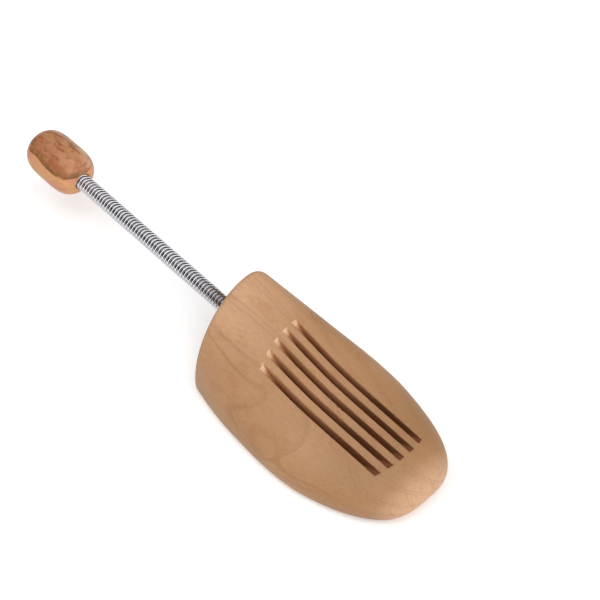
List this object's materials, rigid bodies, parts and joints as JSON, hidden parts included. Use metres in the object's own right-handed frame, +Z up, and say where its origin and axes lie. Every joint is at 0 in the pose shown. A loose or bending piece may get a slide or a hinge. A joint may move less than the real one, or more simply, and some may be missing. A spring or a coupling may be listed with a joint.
{
  "type": "sprung shoe tree",
  "caption": "Sprung shoe tree for a right foot: slotted wooden toe block and turned wooden heel knob joined by a long close-wound steel coil that bows and sways.",
  "frame": {"origin": "on the flat sole of the toe block, halfway along the sole and under the coil's vertical plane", "axes": "+X to the toe, +Y to the inner (big toe) side of the foot, +Z up from the sole"},
  "size_m": [0.2691, 0.0728, 0.0437],
  "materials": {
    "block_wood": "fine sanded, unvarnished, satin",
    "knob_wood": "turned and lightly polished, marbled figure",
    "spring_steel": "bright plated wire",
    "pin_steel": "plain bright brads"
  },
  "bodies": {
    "block": {"toe_block": "block_wood", "block_pin": "pin_steel", "coil_front_end": "spring_steel"},
    "link_01": {"coil_link_01": "spring_steel"},
    "link_02": {"coil_link_02": "spring_steel"},
    "link_03": {"coil_link_03": "spring_steel"},
    "link_04": {"coil_link_04": "spring_steel"},
    "link_05": {"coil_link_05": "spring_steel"},
    "link_06": {"coil_link_06": "spring_steel"},
    "link_07": {"coil_link_07": "spring_steel"},
    "link_08": {"coil_link_08": "spring_steel"},
    "link_09": {"coil_link_09": "spring_steel"},
    "link_10": {"coil_link_10": "spring_steel"},
    "link_11": {"coil_link_11": "spring_steel"},
    "knob": {"coil_rear_end": "spring_steel", "heel_knob": "knob_wood", "knob_pin": "pin_steel"}
  },
  "joints": [
    {"name": "bow_01", "type": "hinge", "parent": "block", "child": "link_01", "pos_m": [-0.06778, 0.00068, 0.02712], "axis": [0.0335, 0.9994, 0], "range_deg": [-1.6, 12], "stiffness_Nm_per_rad": 1.2, "springref_deg": 3.44},
    {"name": "sway_01", "type": "hinge", "parent": "link_01", "child": "link_02", "pos_m": [-0.07693, 0.00098, 0.02736], "axis": [0.0263, -0.0009, 0.9997], "range_deg": [-10, 10], "stiffness_Nm_per_rad": 1.2},
    {"name": "bow_02", "type": "hinge", "parent": "link_02", "child": "link_03", "pos_m": [-0.08609, 0.00129, 0.0276], "axis": [0.0335, 0.9994, 0], "range_deg": [-1.6, 12]},
    {"name": "sway_02", "type": "hinge", "parent": "link_03", "child": "link_04", "pos_m": [-0.09525, 0.0016, 0.02784], "axis": [0.0263, -0.0009, 0.9997], "range_deg": [-10, 10]},
    {"name": "bow_03", "type": "hinge", "parent": "link_04", "child": "link_05", "pos_m": [-0.10441, 0.00191, 0.02808], "axis": [0.0335, 0.9994, 0], "range_deg": [-1.6, 12]},
    {"name": "sway_03", "type": "hinge", "parent": "link_05", "child": "link_06", "pos_m": [-0.11357, 0.00221, 0.02833], "axis": [0.0263, -0.0009, 0.9997], "range_deg": [-10, 10]},
    {"name": "bow_04", "type": "hinge", "parent": "link_06", "child": "link_07", "pos_m": [-0.12273, 0.00252, 0.02857], "axis": [0.0335, 0.9994, 0], "range_deg": [-1.6, 12]},
    {"name": "sway_04", "type": "hinge", "parent": "link_07", "child": "link_08", "pos_m": [-0.13188, 0.00283, 0.02881], "axis": [0.0263, -0.0009, 0.9997], "range_deg": [-10, 10]},
    {"name": "bow_05", "type": "hinge", "parent": "link_08", "child": "link_09", "pos_m": [-0.14104, 0.00313, 0.02905], "axis": [0.0335, 0.9994, 0], "range_deg": [-1.6, 12]},
    {"name": "sway_05", "type": "hinge", "parent": "link_09", "child": "link_10", "pos_m": [-0.1502, 0.00344, 0.02929], "axis": [0.0263, -0.0009, 0.9997], "range_deg": [-10, 10]},
    {"name": "bow_06", "type": "hinge", "parent": "link_10", "child": "link_11", "pos_m": [-0.15936, 0.00375, 0.02953], "axis": [0.0335, 0.9994, 0], "range_deg": [-1.6, 12]},
    {"name": "sway_06", "type": "hinge", "parent": "link_11", "child": "knob", "pos_m": [-0.16852, 0.00405, 0.02977], "axis": [0.0263, -0.0009, 0.9997], "range_deg": [-10, 10]}
  ],
  "couplings": [
    {"joint": "bow_02", "follows": "bow_01", "ratio": 1},
    {"joint": "sway_02", "follows": "sway_01", "ratio": 1},
    {"joint": "bow_03", "follows": "bow_01", "ratio": 1},
    {"joint": "sway_03", "follows": "sway_01", "ratio": 1},
    {"joint": "bow_04", "follows": "bow_01", "ratio": 1},
    {"joint": "sway_04", "follows": "sway_01", "ratio": 1},
    {"joint": "bow_05", "follows": "bow_01", "ratio": 1},
    {"joint": "sway_05", "follows": "sway_01", "ratio": 1},
    {"joint": "bow_06", "follows": "bow_01", "ratio": 1},
    {"joint": "sway_06", "follows": "sway_01", "ratio": 1}
  ]
}
